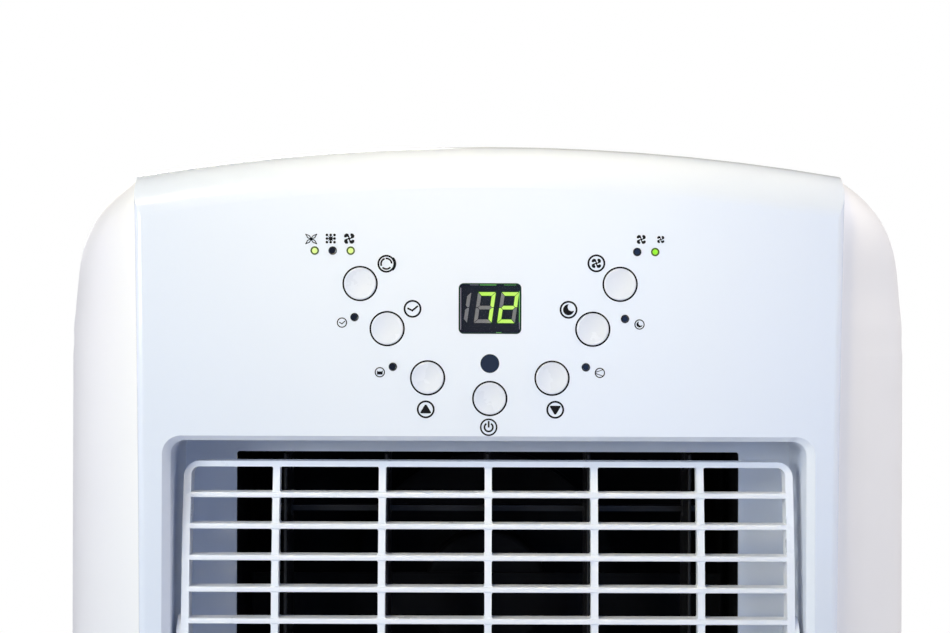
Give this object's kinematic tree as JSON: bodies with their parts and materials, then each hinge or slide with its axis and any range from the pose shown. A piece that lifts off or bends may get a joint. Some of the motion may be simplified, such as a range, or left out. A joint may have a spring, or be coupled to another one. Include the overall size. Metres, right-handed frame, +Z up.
{
  "type": "portable air conditioner",
  "caption": "Upright portable air conditioner on casters, with a tilting outlet grille, swinging vanes, a button panel with display, and a rear hose collar.",
  "frame": {"origin": "on the floor at the centre of the footprint", "axes": "+Z up, -Y out of the front, +X to the right of a person facing the front"},
  "size_m": [0.454, 0.38, 0.7915],
  "materials": {
    "gloss_white": "glossy",
    "satin_white": "satin",
    "white_trim": "satin",
    "rear_white": "satin",
    "duct_black": "matte",
    "smoked_lens": "glossy",
    "display_black": "matte",
    "digit_lit": "glowing",
    "digit_unlit": "satin",
    "lens_lit": "glowing",
    "lens_dark": "glossy",
    "circuit_board": "satin",
    "filter_mesh": "matte",
    "coil_metal": "satin",
    "copper": "satin",
    "compressor_black": "satin",
    "motor_steel": "satin",
    "screw_steel": "satin",
    "foam_grey": "matte",
    "fan_plastic": "satin",
    "rubber_black": "matte",
    "caster_grey": "satin",
    "galvanised": "satin"
  },
  "bodies": {
    "cabinet": {"front_panel": "gloss_white", "left_side_panel": "satin_white", "right_side_panel": "satin_white", "top_cover": "gloss_white", "rear_panel": "rear_white", "exhaust_collar": "rear_white", "panel_screws": "screw_steel", "cord_inlet": "caster_grey", "drain_plug": "rubber_black", "outlet_tub": "white_trim", "outlet_duct": "duct_black", "grille_bearings": "white_trim", "swing_motor": "motor_steel", "control_board": "circuit_board", "indicators_lit": "lens_lit", "indicators_dark": "lens_dark", "receiver_window": "smoked_lens", "display_window": "smoked_lens", "display_module": "display_black", "display_lit": "digit_lit", "display_unlit": "digit_unlit", "base_pan": "caster_grey", "evaporator_coil": "coil_metal", "condenser_coil": "coil_metal", "drip_tray": "foam_grey", "evaporator_fan_housing": "foam_grey", "condenser_fan_housing": "foam_grey", "evaporator_fan_motor": "motor_steel", "condenser_fan_motor": "motor_steel", "compressor": "compressor_black", "compressor_grommets": "rubber_black", "refrigerant_pipes": "copper", "electrical_box": "galvanised"},
    "grille": {"louver_grille": "white_trim"},
    "link": {"vane_link": "duct_black"},
    "intake_door": {"intake_door": "rear_white", "air_filter": "filter_mesh"},
    "evaporator_fan": {"evaporator_fan_wheel": "fan_plastic"},
    "condenser_fan": {"condenser_fan_wheel": "fan_plastic"},
    "vane_1": {"vane_1": "duct_black"},
    "vane_2": {"vane_2": "duct_black"},
    "vane_3": {"vane_3": "duct_black"},
    "vane_4": {"vane_4": "duct_black"},
    "vane_5": {"vane_5": "duct_black"},
    "button_mode": {"button_mode": "white_trim"},
    "button_timer": {"button_timer": "white_trim"},
    "button_up": {"button_up": "white_trim"},
    "button_power": {"button_power": "white_trim"},
    "button_down": {"button_down": "white_trim"},
    "button_sleep": {"button_sleep": "white_trim"},
    "button_fan": {"button_fan": "white_trim"},
    "fork_front_left": {"caster_fork_front_left": "caster_grey"},
    "wheel_front_left": {"caster_wheel_front_left": "rubber_black"},
    "fork_front_right": {"caster_fork_front_right": "caster_grey"},
    "wheel_front_right": {"caster_wheel_front_right": "rubber_black"},
    "fork_rear_left": {"caster_fork_rear_left": "caster_grey"},
    "wheel_rear_left": {"caster_wheel_rear_left": "rubber_black"},
    "fork_rear_right": {"caster_fork_rear_right": "caster_grey"},
    "wheel_rear_right": {"caster_wheel_rear_right": "rubber_black"}
  },
  "joints": [
    {"name": "grille_tilt", "type": "hinge", "parent": "cabinet", "child": "grille", "pos_m": [0, -0.17, 0.535], "axis": [1, 0, 0], "range_deg": [-15, 15]},
    {"name": "vane_1_swing", "type": "hinge", "parent": "cabinet", "child": "vane_1", "pos_m": [-0.108, -0.1, 0.535], "axis": [0, 0, 1], "range_deg": [-25, 25]},
    {"name": "vane_2_swing", "type": "hinge", "parent": "cabinet", "child": "vane_2", "pos_m": [-0.054, -0.1, 0.535], "axis": [0, 0, 1], "range_deg": [-25, 25]},
    {"name": "vane_3_swing", "type": "hinge", "parent": "cabinet", "child": "vane_3", "pos_m": [0, -0.1, 0.535], "axis": [0, 0, 1], "range_deg": [-25, 25]},
    {"name": "vane_4_swing", "type": "hinge", "parent": "cabinet", "child": "vane_4", "pos_m": [0.054, -0.1, 0.535], "axis": [0, 0, 1], "range_deg": [-25, 25]},
    {"name": "vane_5_swing", "type": "hinge", "parent": "cabinet", "child": "vane_5", "pos_m": [0.108, -0.1, 0.535], "axis": [0, 0, 1], "range_deg": [-25, 25]},
    {"name": "link_slide", "type": "slide", "parent": "cabinet", "child": "link", "axis": [1, 0, 0], "range_m": [-0.0055, 0.0055]},
    {"name": "press_mode", "type": "slide", "parent": "cabinet", "child": "button_mode", "axis": [0, 1, 0], "range_m": [0, 0.001], "stiffness_N_per_m": 800, "springref_m": -0.0005},
    {"name": "press_timer", "type": "slide", "parent": "cabinet", "child": "button_timer", "axis": [0, 1, 0], "range_m": [0, 0.001], "stiffness_N_per_m": 800, "springref_m": -0.0005},
    {"name": "press_up", "type": "slide", "parent": "cabinet", "child": "button_up", "axis": [0, 1, 0], "range_m": [0, 0.001], "stiffness_N_per_m": 800, "springref_m": -0.0005},
    {"name": "press_power", "type": "slide", "parent": "cabinet", "child": "button_power", "axis": [0, 1, 0], "range_m": [0, 0.001], "stiffness_N_per_m": 800, "springref_m": -0.0005},
    {"name": "press_down", "type": "slide", "parent": "cabinet", "child": "button_down", "axis": [0, 1, 0], "range_m": [0, 0.001], "stiffness_N_per_m": 800, "springref_m": -0.0005},
    {"name": "press_sleep", "type": "slide", "parent": "cabinet", "child": "button_sleep", "axis": [0, 1, 0], "range_m": [0, 0.001], "stiffness_N_per_m": 800, "springref_m": -0.0005},
    {"name": "press_fan", "type": "slide", "parent": "cabinet", "child": "button_fan", "axis": [0, 1, 0], "range_m": [0, 0.001], "stiffness_N_per_m": 800, "springref_m": -0.0005},
    {"name": "evaporator_fan_spin", "type": "hinge", "parent": "cabinet", "child": "evaporator_fan", "pos_m": [0, 0.04, 0.545], "axis": [0, 1, 0], "continuous": true},
    {"name": "condenser_fan_spin", "type": "hinge", "parent": "cabinet", "child": "condenser_fan", "pos_m": [0.03, 0.055, 0.168], "axis": [0, 1, 0], "continuous": true},
    {"name": "door_hinge", "type": "hinge", "parent": "cabinet", "child": "intake_door", "pos_m": [0, 0.1695, 0.457], "axis": [-1, 0, 0], "range_deg": [0, 75]},
    {"name": "swivel_front_left", "type": "hinge", "parent": "cabinet", "child": "fork_front_left", "pos_m": [-0.165, -0.112, 0.044], "axis": [0, 0, 1], "continuous": true},
    {"name": "roll_front_left", "type": "hinge", "parent": "fork_front_left", "child": "wheel_front_left", "pos_m": [-0.165, -0.098, 0.02], "axis": [1, 0, 0], "continuous": true},
    {"name": "swivel_front_right", "type": "hinge", "parent": "cabinet", "child": "fork_front_right", "pos_m": [0.165, -0.112, 0.044], "axis": [0, 0, 1], "continuous": true},
    {"name": "roll_front_right", "type": "hinge", "parent": "fork_front_right", "child": "wheel_front_right", "pos_m": [0.165, -0.098, 0.02], "axis": [1, 0, 0], "continuous": true},
    {"name": "swivel_rear_left", "type": "hinge", "parent": "cabinet", "child": "fork_rear_left", "pos_m": [-0.165, 0.112, 0.044], "axis": [0, 0, 1], "continuous": true},
    {"name": "roll_rear_left", "type": "hinge", "parent": "fork_rear_left", "child": "wheel_rear_left", "pos_m": [-0.165, 0.126, 0.02], "axis": [1, 0, 0], "continuous": true},
    {"name": "swivel_rear_right", "type": "hinge", "parent": "cabinet", "child": "fork_rear_right", "pos_m": [0.165, 0.112, 0.044], "axis": [0, 0, 1], "continuous": true},
    {"name": "roll_rear_right", "type": "hinge", "parent": "fork_rear_right", "child": "wheel_rear_right", "pos_m": [0.165, 0.126, 0.02], "axis": [1, 0, 0], "continuous": true}
  ],
  "couplings": [
    {"joint": "vane_2_swing", "follows": "vane_1_swing", "ratio": 1},
    {"joint": "vane_3_swing", "follows": "vane_1_swing", "ratio": 1},
    {"joint": "vane_4_swing", "follows": "vane_1_swing", "ratio": 1},
    {"joint": "vane_5_swing", "follows": "vane_1_swing", "ratio": 1},
    {"joint": "link_slide", "follows": "vane_1_swing", "m_per_rad": -0.012}
  ]
}
